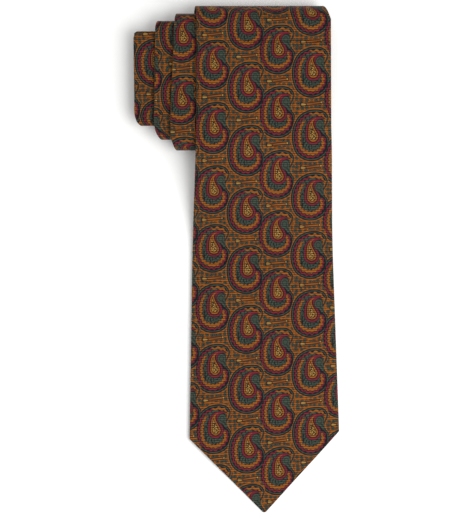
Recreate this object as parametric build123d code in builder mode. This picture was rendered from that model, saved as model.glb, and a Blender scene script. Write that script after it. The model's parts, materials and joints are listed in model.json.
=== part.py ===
"""Necktie, folded in half at the neck with its narrow end tucked through the keeper, then wrapped
three times into a flat roll behind the wide blade. Millimetres, +Z up, tip towards -Y, face up.

One centre line runs the whole length of the tie: along the blade, round the folds of the roll, back on
itself at the neck, and out again under the blade to the narrow tip. Every ply is lofted along it."""

from build123d import *
import os
from dataclasses import dataclass
from math import ceil, cos, hypot, radians, sin

# Make-up of the tie
cloth = 0.28  # shell fabric
interlining = 0.50
thickness = 1.10  # shell, interlining and shell again
rolled_edge = 0.50  # the folded edge, where the cloth turns to the back
easing = 0.15  # space between the interlining and that edge
seam_opening = 0.36  # gap of the centre-back seam, which holds the slip stitch
thread = 0.20

# Lengthwise places, with the origin under the middle of the whole tie
tip_y = -149.45
shoulder_length = 45.85  # from the wide tip to the line of its shoulders
narrow_tip_y = -110.0
top_folds = (149.45, 144.95, 140.60)  # outermost line of each fold, from the outer turn inwards
bottom_folds = (64.50, 70.75, 78.95)
neck_fold = 134.55
cover_from, cover_to = 24.0, 3.0  # past the narrow tip: the blade comes down to the table between these

# Spaces between plies
ply_gap = 0.15
body_gap = 0.30  # between plies that move apart
tail_gap = 0.45  # between the blade and the narrow end on the table, where the label is

# The blade's way down from the roll to the table
crest_y = 72.0
slope_angle = 15.0
crest_radius = 30.0
foot_radius = 80.0

# Middle of the ply, left or right of the origin
tip_x, shoulder_x, foot_x = 16.6, 16.5, 15.5
front_x = ((15.9, 15.9), (-3.1, -2.0), (-17.4, -18.35), (-36.65, -39.4))  # bottom and top of each turn
fold_lead = 2.7  # how far a fold has moved at its outermost line
shoulder_turn = 3.04  # degrees from square to the line of the shoulders

# Widths, by length from the wide tip; the narrow tip's, by length from its own tip
wide_widths = ((0, 1.6), (shoulder_length, 88.7), (155, 83), (230, 79), (292, 78.6), (305, 75.4), (420, 71.5))
neck_widths = ((480, 69), (570, 63), (630, 59), (700, 48.5), (756, 42), (800, 39), (1000, 38), (1280, 42))
narrow_widths = ((0, 1.2), (24, 45.0))

# Openings of the back over the tippings, by length from the tip
wide_openings = ((6, seam_opening), (shoulder_length, 74), (112, seam_opening))
narrow_openings = ((5, seam_opening), (24, 33), (66, seam_opening))

# Joints of the assembly and of the cloth
tip_hinge_y = -2.0
blade_hinge_y = 128.0
hinge_gap = 0.60
neck_seam = 668.0  # wide panel to neck panel, by length from the wide tip
narrow_seam_back = 320.0  # neck panel to narrow panel, by length past the neck fold
interlining_joint = 655.0
seam_gap = 0.30

# Keeper and label on the blade's back, by length from the wide tip
keeper_from, keeper_to = 168.5, 181.5
keeper_width, keeper_end, keeper_strip = 52.0, 3.0, 0.60
label_from, label_to = 128.0, 143.0
label_width, label_thickness = 44.0, 0.20

# Sewing
wide_tack, narrow_tack, tack_length = 106.0, 61.0, 1.2  # by length from each tip
tipping_from, wide_tipping_to, narrow_tipping_to = 8.0, 104.5, 58.0
wide_stitch_from, narrow_stitch_from = 113.0, 67.0
end_stitch_width, end_stitch_height, end_stitch_inset = 0.4, 0.3, 1.0
interlining_inset = 3.0  # from each tip
arc_step = 30.0


@dataclass(frozen=True)
class Station:
    """A place on the centre line: its length from the wide tip, its position and the way it heads."""

    s: float
    x: float
    y: float
    z: float
    heading: float  # degrees up from +Y; the back of the tie is on the right-hand side
    turn: float = 0.0

    @property
    def plane(self):
        """Square to the centre line, with its first axis across the tie and its second to the back."""
        up, aside = radians(self.heading), radians(self.turn)
        across = (cos(aside), sin(aside) * cos(up), sin(aside) * sin(up))
        along = (-sin(aside), cos(aside) * cos(up), cos(aside) * sin(up))
        return Plane(origin=(self.x, self.y, self.z), x_dir=across, z_dir=along)


def between(low, high, share):
    return low + (high - low) * share


def looked_up(table, at):
    """Straight-line interpolation in a table of (place, value)."""
    for (start, low), (end, high) in zip(table, table[1:]):
        if at <= end:
            return between(low, high, max(at - start, 0) / (end - start))
    return table[-1][1]


def mixed(first, second, share):
    """The station a share of the way from first to second."""
    values = {name: between(getattr(first, name), getattr(second, name), share) for name in first.__match_args__}
    return Station(**values)


class CentreLine:
    """Stations added one run or one bend at a time."""

    def __init__(self, start):
        self.stations = [start]

    def go(self, y, z, x, turn=0.0):
        """A straight run to y and z, with the heading kept."""
        last = self.stations[-1]
        length = hypot(y - last.y, z - last.z)
        self.stations.append(Station(last.s + length, x, y, z, last.heading, turn))

    def bend(self, radius, angle, x):
        """An arc through angle degrees, positive upwards."""
        start, steps = self.stations[-1], ceil(abs(angle) / arc_step)
        side = 1 if angle > 0 else -1
        up = radians(start.heading)
        centre_y, centre_z = start.y - side * radius * sin(up), start.z + side * radius * cos(up)
        for i in range(1, steps + 1):
            heading = start.heading + angle * i / steps
            now, s = radians(heading), start.s + radius * radians(abs(angle)) * i / steps
            y, z = centre_y + side * radius * sin(now), centre_z - side * radius * cos(now)
            self.stations.append(Station(s, between(start.x, x, i / steps), y, z, heading))

    def fold(self, radius, middle_x, end_x):
        """Half a turn over, in two quarters."""
        self.bend(radius, -90, middle_x)
        self.bend(radius, -90, end_x)


def ply_heights():
    """Mid heights of the roll's front and back wide plies, from the outer turn inwards."""
    pair = 2 * (thickness + ply_gap)
    backs = [thickness / 2 + turn * pair for turn in range(3)]
    innermost = backs[-1] + 1.5 * pair
    fronts = [innermost + turn * pair for turn in (2, 1, 0)]
    return [fronts[0] + pair + body_gap - ply_gap] + fronts, backs


def wide_side():
    """The centre line from the wide tip to the neck fold."""
    fronts, backs = ply_heights()
    blade_z = 1.5 * thickness + tail_gap
    line = CentreLine(Station(0, tip_x, tip_y, thickness / 2, 0, shoulder_turn))
    line.go(narrow_tip_y - cover_from, thickness / 2, tip_x, shoulder_turn)
    line.go(narrow_tip_y - cover_to, blade_z, tip_x, shoulder_turn)
    line.go(tip_y + shoulder_length, blade_z, shoulder_x, shoulder_turn)
    angle, rise = radians(slope_angle), fronts[0] - blade_z
    straight = (rise - (crest_radius + foot_radius) * (1 - cos(angle))) / sin(angle)
    level = (crest_radius + foot_radius) * sin(angle) + straight * cos(angle)
    line.go(crest_y - level, blade_z, foot_x)
    line.bend(foot_radius, slope_angle, foot_x)
    last = line.stations[-1]
    line.go(last.y + straight * cos(angle), last.z + straight * sin(angle), front_x[0][0])
    line.bend(crest_radius, -slope_angle, front_x[0][0])
    for turn, back in enumerate(backs):
        front, x = fronts[turn], front_x[turn][1]
        radius = (front - back) / 2
        line.go(top_folds[turn] - thickness / 2 - radius, front, x)
        line.fold(radius, x - fold_lead, x - 2 * fold_lead)
        front, next_x = fronts[turn + 1], front_x[turn + 1][0]
        radius = (front - back) / 2
        line.go(bottom_folds[turn] + thickness / 2 + radius, back, next_x + 2 * fold_lead)
        line.fold(radius, next_x + fold_lead, next_x)
    line.go(neck_fold - thickness - ply_gap / 2, fronts[-1], front_x[-1][1])
    return line.stations


def with_places(stations, places):
    """The stations with more of them at these lengths, so that each change of width has its own."""
    found = list(stations)
    for s in places:
        after = next((i for i, station in enumerate(found) if station.s > s - 0.01), None)
        if after and found[after].s > s + 0.01:
            before = found[after - 1]
            share = (s - before.s) / (found[after].s - before.s)
            found.insert(after, mixed(before, found[after], share))
    return found


def back_spacing(station):
    """From the middle of the wide ply to the middle of the narrow ply behind it."""
    slack = looked_up(((tip_hinge_y, tail_gap), (crest_y - crest_radius, ply_gap)), station.y)
    return thickness + (slack if station.s < blade_hinge.s else ply_gap)


def narrow_side(wide):
    """The centre line back from the neck fold to the narrow tip, behind the wide side."""
    line = CentreLine(wide[-1])
    radius = (thickness + ply_gap) / 2
    line.fold(radius, line.stations[-1].x, line.stations[-1].x)
    for station in reversed(wide[:-1]):
        up, spacing = radians(station.heading), back_spacing(station)
        y, z = station.y + spacing * sin(up), station.z - spacing * cos(up)
        last = line.stations[-1]
        if y < narrow_tip_y and station.s < blade_hinge.s:
            break
        s = last.s + hypot(y - last.y, z - last.z)
        line.stations.append(Station(s, station.x, y, z, station.heading - 180))
    line.go(narrow_tip_y, thickness / 2, shoulder_x)
    return line.stations


def at_y(stations, y):
    """The station of the blade's run at this y."""
    for before, after in zip(stations, stations[1:]):
        if (before.y - y) * (after.y - y) <= 0:
            return mixed(before, after, (y - before.y) / (after.y - before.y))


def part_of(start, end):
    """The stations from one length to another, both ends included."""
    ends = with_places(tie, (start, end))
    return [station for station in ends if start - 0.01 < station.s < end + 0.01]


def mirrored_table(table, length):
    return tuple((length - place, value) for place, value in reversed(table))


wide = wide_side()
blade_hinge = at_y(wide, blade_hinge_y)
tip_hinge = at_y(wide, tip_hinge_y)
narrow = narrow_side(wide)
tie_length = narrow[-1].s
narrow_hinge = at_y(narrow[::-1], blade_hinge_y)
neck_length = wide[-1].s
narrow_seam = neck_length + narrow_seam_back
widths = wide_widths + neck_widths + mirrored_table(narrow_widths, tie_length)
openings = wide_openings + mirrored_table(narrow_openings, tie_length)
tie = with_places(wide + narrow[1:], [place for place, _ in widths + openings])


def shell_outline(station):
    """The cloth, closed round the interlining and open along the middle of the back."""
    edge, half = looked_up(widths, station.s) / 2, thickness / 2
    seam = looked_up(openings, station.s) / 2
    inner, wall = edge - rolled_edge, half - cloth
    side = [(seam, half), (edge, half), (edge, -half)]
    inside = [(inner, -wall), (inner, wall), (seam, wall)]
    left = [(-u, v) for u, v in reversed(side)]
    left_inside = [(-u, v) for u, v in reversed(inside)]
    return side + left + left_inside + inside


def bar(width, low, high, middle=0.0):
    """The outline of a plain strip: its width and the two depths, measured to the back."""
    left, right = middle - width / 2, middle + width / 2
    return [(left, low), (right, low), (right, high), (left, high)]


def interlining_outline(station):
    width = looked_up(widths, station.s) - 2 * (rolled_edge + easing)
    return bar(width, -interlining / 2, interlining / 2)


def tipping_outline(station):
    width = looked_up(openings, station.s) - seam_opening
    return bar(width, thickness / 2 - cloth + 0.03, thickness / 2 - 0.05)


def slip_stitch_outline(station):
    return bar(thread, thickness / 2 - cloth + 0.04, thickness / 2 - 0.04)


def bar_tack_outline(station):
    width = looked_up(openings, station.s) - 0.1
    return bar(width, thickness / 2 - cloth + 0.03, thickness / 2 - 0.03)


def seam_thread_outline(station):
    width = looked_up(widths, station.s) - 2 * rolled_edge
    return bar(width, -thickness / 2 + 0.04, -thickness / 2 + 0.04 + thread)


def keeper_outline(station):
    """A strip behind the narrow ply, with both ends against the blade's back."""
    top, inner = thickness / 2, thickness * 1.5 + tail_gap + ply_gap
    outer, edge = inner + keeper_strip, keeper_width / 2
    right = [(edge, top), (edge, outer)]
    inside = [(edge - keeper_end, inner), (edge - keeper_end, top)]
    return right + [(-u, v) for u, v in reversed(right)] + [(-u, v) for u, v in inside[::-1]] + inside


def lofted(outline, *runs):
    """One closed solid through the outlines along each run."""
    with BuildPart() as piece:
        for stations in runs:
            sections = []
            for station in stations:
                with BuildSketch(station.plane) as section:
                    with BuildLine():
                        Polyline(*outline(station), close=True)
                    make_face()
                sections.append(section.sketch)
            loft(sections, ruled=True)
    return piece


def made(label, piece):
    """Names a finished piece and writes it."""
    piece.part.label = label
    export_step(piece.part, f"parts/{label}.step")
    print(f"{label}: {piece.part.volume:.0f} mm3")


def split_at_hinges(label, outline, start, end, gap):
    """The pieces of one ply or thread on the wide side: beyond the tip hinge, on the blade, on the roll."""
    made(f"{label}_tip", lofted(outline, part_of(start, tip_hinge.s - gap)))
    made(f"{label}_mid", lofted(outline, part_of(tip_hinge.s + gap, blade_hinge.s - gap)))
    made(f"{label}_roll", lofted(outline, part_of(blade_hinge.s + gap, end)))


def end_stitches(label, width, start, end):
    """Two rows of stitches on the blade's back, one along each end of a piece this wide."""
    middle, top = (width + end_stitch_width) / 2, thickness / 2
    rows = [
        lofted(lambda station, side=side: bar(end_stitch_width, top, top + end_stitch_height, side * middle),
               part_of(start + end_stitch_inset, end - end_stitch_inset))
        for side in (-1, 1)
    ]
    with BuildPart() as pair:
        for row in rows:
            add(row.part)
    made(label, pair)


os.makedirs("parts", exist_ok=True)
half_gap, half_seam = hinge_gap / 2, seam_gap / 2
lining_gap = hinge_gap  # the interlining stops a little short of the shell at each hinge

# Shell, in three panels
split_at_hinges("wide_shell", shell_outline, 0, neck_seam - half_seam, half_gap)
made("neck_shell", lofted(shell_outline, part_of(neck_seam + half_seam, narrow_seam - half_seam)))
made("narrow_shell_roll", lofted(shell_outline, part_of(narrow_seam + half_seam, narrow_hinge.s - half_gap)))
made("narrow_shell_tail", lofted(shell_outline, part_of(narrow_hinge.s + half_gap, tie_length)))

# Interlining, in two pieces
split_at_hinges("wide_interlining", interlining_outline, interlining_inset, interlining_joint - half_seam, lining_gap)
narrow_lining = part_of(interlining_joint + half_seam, narrow_hinge.s - lining_gap)
made("narrow_interlining_roll", lofted(interlining_outline, narrow_lining))
tail_lining = part_of(narrow_hinge.s + lining_gap, tie_length - interlining_inset)
made("narrow_interlining_tail", lofted(interlining_outline, tail_lining))

# Tippings, and the bar tack above each
made("wide_tipping", lofted(tipping_outline, part_of(tipping_from, wide_tipping_to)))
narrow_tipping = part_of(tie_length - narrow_tipping_to, tie_length - tipping_from)
made("narrow_tipping", lofted(tipping_outline, narrow_tipping))
for label, middle in (("wide_bar_tack", wide_tack), ("narrow_bar_tack", tie_length - narrow_tack)):
    made(label, lofted(bar_tack_outline, part_of(middle - tack_length / 2, middle + tack_length / 2)))

# Keeper loop and blank label
made("keeper_loop", lofted(keeper_outline, part_of(keeper_from, keeper_to)))
end_stitches("keeper_stitches", keeper_width, keeper_from, keeper_to)
label_outline = bar(label_width, thickness / 2, thickness / 2 + label_thickness)
made("woven_label", lofted(lambda station: label_outline, part_of(label_from, label_to)))
end_stitches("label_stitches", label_width, label_from, label_to)

# Slip stitch along the centre back, and the seams between the panels
split_at_hinges("slip_stitch", slip_stitch_outline, wide_stitch_from, narrow_hinge.s - half_gap, half_gap)
tail_stitch = part_of(narrow_hinge.s + half_gap, tie_length - narrow_stitch_from)
made("slip_stitch_tail", lofted(slip_stitch_outline, tail_stitch))
seams = [part_of(place - thread / 2, place + thread / 2) for place in (neck_seam, narrow_seam)]
made("panel_seam_threads", lofted(seam_thread_outline, *seams))

print(f"length along the middle {tie_length:.0f} mm, roll height {ply_heights()[0][0] + thickness / 2:.2f} mm")
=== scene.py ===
"""A silk necktie, folded in half at the neck, its narrow end tucked through the keeper, and wrapped into
a flat roll behind its wide blade. Cloth is worked out in millimetres and placed in metres."""

import json
import logging
from dataclasses import dataclass, field
from enum import Enum
from math import ceil, cos, hypot, pi, radians, sin, sqrt
from typing import Callable, Optional, Sequence, Union

import bmesh
import bpy
from mathutils import Matrix, Vector, noise

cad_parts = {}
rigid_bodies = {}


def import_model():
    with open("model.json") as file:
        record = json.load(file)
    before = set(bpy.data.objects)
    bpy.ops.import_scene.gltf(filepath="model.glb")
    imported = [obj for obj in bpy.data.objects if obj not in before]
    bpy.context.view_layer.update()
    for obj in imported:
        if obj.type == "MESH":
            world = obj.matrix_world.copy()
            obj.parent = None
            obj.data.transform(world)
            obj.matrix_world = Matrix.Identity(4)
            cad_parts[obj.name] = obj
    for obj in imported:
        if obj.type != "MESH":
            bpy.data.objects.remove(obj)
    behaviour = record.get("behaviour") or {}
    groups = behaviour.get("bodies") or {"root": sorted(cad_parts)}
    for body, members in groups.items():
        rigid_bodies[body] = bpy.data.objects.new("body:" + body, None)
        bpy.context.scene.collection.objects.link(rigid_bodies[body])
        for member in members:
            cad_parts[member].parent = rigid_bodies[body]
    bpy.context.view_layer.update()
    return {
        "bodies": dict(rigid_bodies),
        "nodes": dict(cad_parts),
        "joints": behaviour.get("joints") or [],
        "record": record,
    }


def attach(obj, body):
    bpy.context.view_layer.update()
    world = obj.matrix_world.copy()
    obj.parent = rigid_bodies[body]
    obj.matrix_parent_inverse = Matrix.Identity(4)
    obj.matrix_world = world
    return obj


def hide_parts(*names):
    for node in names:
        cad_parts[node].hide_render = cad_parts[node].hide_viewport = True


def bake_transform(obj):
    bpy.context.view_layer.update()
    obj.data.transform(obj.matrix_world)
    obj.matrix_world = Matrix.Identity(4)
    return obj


LOG = logging.getLogger("necktie")
MM = 0.001
Pair = tuple[float, float]
Triple = tuple[float, float, float]
Colour = Triple
Table = tuple[Pair, ...]


def between(low: float, high: float, share: float) -> float:
    """The value a share of the way from low to high."""
    return low + (high - low) * share


def eased(share: float) -> float:
    """A share from 0 to 1 that starts and ends softly."""
    share = min(max(share, 0.0), 1.0)
    return share * share * (3 - 2 * share)


def looked_up(table: Table, at: float) -> float:
    """Straight-line interpolation.

    Args:
        table: pairs of a place and a value, in order.
        at: the place asked for.

    Returns:
        The value there, held level past both ends.
    """
    for (start, low), (end, high) in zip(table, table[1:]):
        if at <= end:
            return between(low, high, max(at - start, 0.0) / (end - start))
    return table[-1][1]


def srgb(red: int, green: int, blue: int) -> Colour:
    """A display colour, 0 to 255, as the linear colour that a shader takes."""
    parts = [channel / 255 for channel in (red, green, blue)]
    return tuple(c / 12.92 if c <= 0.04045 else ((c + 0.055) / 1.055) ** 2.4 for c in parts)


# --- The way the tie lies ---


@dataclass(frozen=True)
class Station:
    """A place on the centre line: length from the wide tip, position, and the way it heads, in degrees."""

    s: float
    x: float
    y: float
    z: float
    heading: float
    turn: float = 0.0

    def point(self, u: float, v: float) -> Vector:
        """The point u across the ply and v to its back, in millimetres."""
        up, aside = radians(self.heading), radians(self.turn)
        across = Vector((cos(aside), sin(aside) * cos(up), sin(aside) * sin(up)))
        along = Vector((-sin(aside), cos(aside) * cos(up), cos(aside) * sin(up)))
        return Vector((self.x, self.y, self.z)) + across * u + along.cross(across) * v


def mixed(first: Station, second: Station, share: float) -> Station:
    """The station a share of the way from first to second."""
    names = ("s", "x", "y", "z", "heading", "turn")
    return Station(*(between(getattr(first, name), getattr(second, name), share) for name in names))


@dataclass
class CentreLine:
    """Stations added one run or one bend at a time."""

    stations: list[Station]
    run_step: float = 2.4
    arc_step: float = 7.5
    level_slope: float = 0.01

    def go(self, y: float, z: float, x: float, turn: float = 0.0) -> None:
        """A run to y and z with the heading kept; a change of height along it is soft."""
        start = self.stations[-1]
        level = abs(sin(radians(start.heading))) < self.level_slope
        steps = max(1, ceil(abs(y - start.y) / self.run_step))
        for i in range(1, steps + 1):
            share = i / steps
            height = between(start.z, z, eased(share) if level else share)
            at_y, last = between(start.y, y, share), self.stations[-1]
            s = last.s + hypot(at_y - last.y, height - last.z)
            at_x, at_turn = between(start.x, x, share), between(start.turn, turn, share)
            self.stations.append(Station(s, at_x, at_y, height, start.heading, at_turn))

    def bend(self, radius: float, angle: float, x: float) -> None:
        """An arc through angle degrees, positive upwards, that drifts to x."""
        start, steps = self.stations[-1], ceil(abs(angle) / self.arc_step)
        side, up = (1 if angle > 0 else -1), radians(start.heading)
        centre_y, centre_z = start.y - side * radius * sin(up), start.z + side * radius * cos(up)
        for i in range(1, steps + 1):
            heading = start.heading + angle * i / steps
            s = start.s + radius * radians(abs(angle)) * i / steps
            y = centre_y + side * radius * sin(radians(heading))
            z = centre_z - side * radius * cos(radians(heading))
            self.stations.append(Station(s, between(start.x, x, i / steps), y, z, heading))

    def fold(self, radius: float, middle_x: float, end_x: float) -> None:
        """Half a turn over, in two quarters."""
        self.bend(radius, -90, middle_x)
        self.bend(radius, -90, end_x)


@dataclass(frozen=True)
class Unevenness:
    """A soft wave of the cloth: its size each way, its layer of the noise, and its height, in millimetres."""

    x: float
    y: float
    layer: float
    height: float

    def at(self, point: Vector) -> float:
        """How far it raises the cloth at a point."""
        return self.height * noise.noise(Vector((point.x / self.x, point.y / self.y, self.layer)))


@dataclass
class Lay:
    """How the whole tie lies, from the wide tip round the roll and back out to the narrow tip."""

    blade_hinge_y: float
    tip_hinge_y: float
    cloth: float = 0.28
    thickness: float = 1.10
    tip_y: float = -149.45
    shoulder_length: float = 45.85
    narrow_tip_y: float = -110.0
    top_folds: tuple[float, ...] = (149.45, 144.95, 140.60)
    bottom_folds: tuple[float, ...] = (64.50, 70.75, 78.95)
    neck_fold: float = 134.55
    cover_from: float = 24.0
    cover_to: float = 3.0
    ply_gap: float = 0.15
    body_gap: float = 0.30
    tail_gap: float = 0.45
    crest_y: float = 72.0
    slope_angle: float = 15.0
    crest_radius: float = 30.0
    foot_radius: float = 80.0
    tip_x: float = 16.6
    shoulder_x: float = 16.5
    foot_x: float = 15.5
    front_x: Table = ((15.9, 15.9), (-3.1, -2.0), (-17.4, -18.35), (-36.65, -39.4))
    top_leads: Table = ((-2.7, -4.0), (0.8, 0.4), (0.8, 0.4))
    bottom_leads: Table = ((3.8, 0.4), (4.8, 1.2), (4.5, 2.0))
    back_lead: float = 5.4
    run_in: Table = ((3.2, 0.34), (7.0, 0.07), (11.0, 0.0))
    neck_lead: Pair = (0.5, 1.9)
    shoulder_turn: float = 3.04
    neck_seam: float = 668.0
    narrow_seam_back: float = 320.0
    seam: float = 0.36
    neck_run: float = 3.0
    least_gap: float = 0.02
    narrow_shoulder_back: float = 24.0
    roll_height: float = 17.5
    drift: Unevenness = Unevenness(38, 46, 0.3, 0.55)
    ripple: Unevenness = Unevenness(15, 19, 7.1, 0.16)
    stations: list[Station] = field(init=False)
    widths: Table = field(init=False)
    openings: Table = field(init=False)

    def __post_init__(self) -> None:
        """Lays out the line, then the places and widths that depend on its length."""
        wide = self.wide_side()
        narrow = self.narrow_side(wide)
        self.stations = wide + narrow[1:]
        self.length = narrow[-1].s
        self.narrow_seam = wide[-1].s + self.narrow_seam_back
        self.blade_hinge = self.length_at(wide, self.blade_hinge_y)
        self.tip_hinge = self.length_at(wide, self.tip_hinge_y)
        self.narrow_hinge = self.length_at(narrow[::-1], self.blade_hinge_y)
        self.narrow_shoulder = self.length - self.narrow_shoulder_back
        self.widths = (
            (0, 1.6), (self.shoulder_length, 88.7), (155, 83), (230, 79), (292, 78.6), (305, 75.4), (420, 71.5),
            (480, 69), (570, 63), (630, 59), (700, 48.5), (756, 42), (800, 39), (1000, 38), (1280, 42),
            (self.narrow_shoulder, 45.0), (self.length, 1.2),
        )
        self.openings = (
            (6, self.seam), (self.shoulder_length, 74), (112, self.seam), (self.length - 66, self.seam),
            (self.narrow_shoulder, 33), (self.length - 5, self.seam),
        )

    def wide_side(self) -> list[Station]:
        """The centre line from the wide tip to the neck fold."""
        half = self.thickness / 2
        pair = 2 * (self.thickness + self.ply_gap)
        backs = [half + turn * pair for turn in range(3)]
        fronts = [backs[-1] + (1.5 + turn) * pair for turn in (2, 1, 0)]
        fronts.insert(0, fronts[0] + pair + self.body_gap - self.ply_gap)
        blade_z = 1.5 * self.thickness + self.tail_gap
        line = CentreLine([Station(0, self.tip_x, self.tip_y, half, 0, self.shoulder_turn)])
        line.go(self.narrow_tip_y - self.cover_from, half, self.tip_x, self.shoulder_turn)
        line.go(self.narrow_tip_y - self.cover_to, blade_z, self.tip_x, self.shoulder_turn)
        line.go(self.tip_y + self.shoulder_length, blade_z, self.shoulder_x, self.shoulder_turn)
        angle, rise = radians(self.slope_angle), fronts[0] - blade_z
        straight = (rise - (self.crest_radius + self.foot_radius) * (1 - cos(angle))) / sin(angle)
        level = (self.crest_radius + self.foot_radius) * sin(angle) + straight * cos(angle)
        line.go(self.crest_y - level, blade_z, self.foot_x)
        line.bend(self.foot_radius, self.slope_angle, self.foot_x)
        last = line.stations[-1]
        line.go(last.y + straight * cos(angle), last.z + straight * sin(angle), self.front_x[0][0])
        line.bend(self.crest_radius, -self.slope_angle, self.front_x[0][0])
        for turn, back in enumerate(backs):
            front, x = fronts[turn], self.front_x[turn][1]
            radius = (front - back) / 2
            line.go(self.top_folds[turn] - half - radius, front, x)
            line.fold(radius, x + self.top_leads[turn][0], x + self.top_leads[turn][1])
            front, next_x = fronts[turn + 1], self.front_x[turn + 1][0]
            radius = (front - back) / 2
            middle_lead, lead = self.bottom_leads[turn]
            start = self.bottom_folds[turn] + half + radius
            line.go(start, back, next_x + self.back_lead)
            line.fold(radius, next_x + middle_lead, next_x + lead)
            for further, share in self.run_in:
                line.go(start + further, front, next_x + lead * share)
        end = self.neck_fold - self.thickness - self.ply_gap / 2
        line.go(end - self.neck_run, fronts[-1], self.front_x[-1][1])
        line.go(end, fronts[-1], self.front_x[-1][1] + self.neck_lead[0])
        return line.stations

    def narrow_side(self, wide: list[Station]) -> list[Station]:
        """The centre line back from the neck fold to the narrow tip, behind the wide side."""
        hinge = self.length_at(wide, self.blade_hinge_y)
        line = CentreLine([wide[-1]])
        neck_x = self.front_x[-1][1]
        line.fold((self.thickness + self.ply_gap) / 2, neck_x + self.neck_lead[1], neck_x)
        slack = ((self.tip_hinge_y, self.tail_gap), (self.crest_y - self.crest_radius, self.ply_gap))
        for station in reversed(wide[:-1]):
            on_blade = station.s < hinge
            spacing = self.thickness + (looked_up(slack, station.y) if on_blade else self.ply_gap)
            up, last = radians(station.heading), line.stations[-1]
            y, z = station.y + spacing * sin(up), station.z - spacing * cos(up)
            if on_blade and y < self.narrow_tip_y:
                break
            s = last.s + hypot(y - last.y, z - last.z)
            line.stations.append(Station(s, station.x, y, z, station.heading - 180))
        line.go(self.narrow_tip_y, self.thickness / 2, self.shoulder_x)
        return line.stations

    @staticmethod
    def length_at(stations: Sequence[Station], y: float) -> float:
        """The length from the wide tip where a run first reaches y."""
        for before, after in zip(stations, stations[1:]):
            if (before.y - y) * (after.y - y) <= 0 and before.y != after.y:
                return between(before.s, after.s, (y - before.y) / (after.y - before.y))
        return stations[-1].s

    def at(self, s: float) -> Station:
        """The station at this length."""
        for before, after in zip(self.stations, self.stations[1:]):
            if s <= after.s:
                return mixed(before, after, (s - before.s) / max(after.s - before.s, 1e-9))
        return self.stations[-1]

    def part(self, start: float, end: float, extra: Sequence[float] = ()) -> list[Station]:
        """The stations from one length to another, both ends and any extra places included."""
        places = [start, end, *(s for s in extra if start < s < end)]
        places += [at.s for at in self.stations if start + self.least_gap < at.s < end - self.least_gap]
        return [self.at(s) for s in sorted(set(places))]

    def placed(self, station: Station, u: float, v: float) -> Vector:
        """A point of the cloth in metres, with the soft unevenness that all the plies there share."""
        point = station.point(u, v)
        high = min(max(point.z / self.roll_height, 0.0), 1.0)
        point.z += high * (self.drift.at(point) + self.ripple.at(point))
        return point * MM

    def spot(self, s: float, u: float, v: float) -> Vector:
        """The point of the cloth at a length, in metres."""
        return self.placed(self.at(s), u, v)


# --- Shader nodes ---

Value = Union["Wire", float, tuple]


def math_node(operation: str, swapped: bool = False) -> Callable[["Wire", Value], "Wire"]:
    """The operator that adds a Math node to a wire, with the wire second where it is swapped."""

    def apply(wire: "Wire", other: Value) -> "Wire":
        """The wire that leaves the node."""
        return wire.net.number(operation, *((other, wire) if swapped else (wire, other)))

    return apply


@dataclass(frozen=True)
class Wire:
    """A number, vector or colour that leaves a node."""

    net: "Net"
    socket: bpy.types.NodeSocket

    __add__, __radd__ = math_node("ADD"), math_node("ADD", swapped=True)
    __sub__, __rsub__ = math_node("SUBTRACT"), math_node("SUBTRACT", swapped=True)
    __mul__, __rmul__ = math_node("MULTIPLY"), math_node("MULTIPLY", swapped=True)
    __truediv__ = math_node("DIVIDE")

    def __abs__(self) -> "Wire":
        """The wire without its sign."""
        return self.net.number("ABSOLUTE", self)


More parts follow.
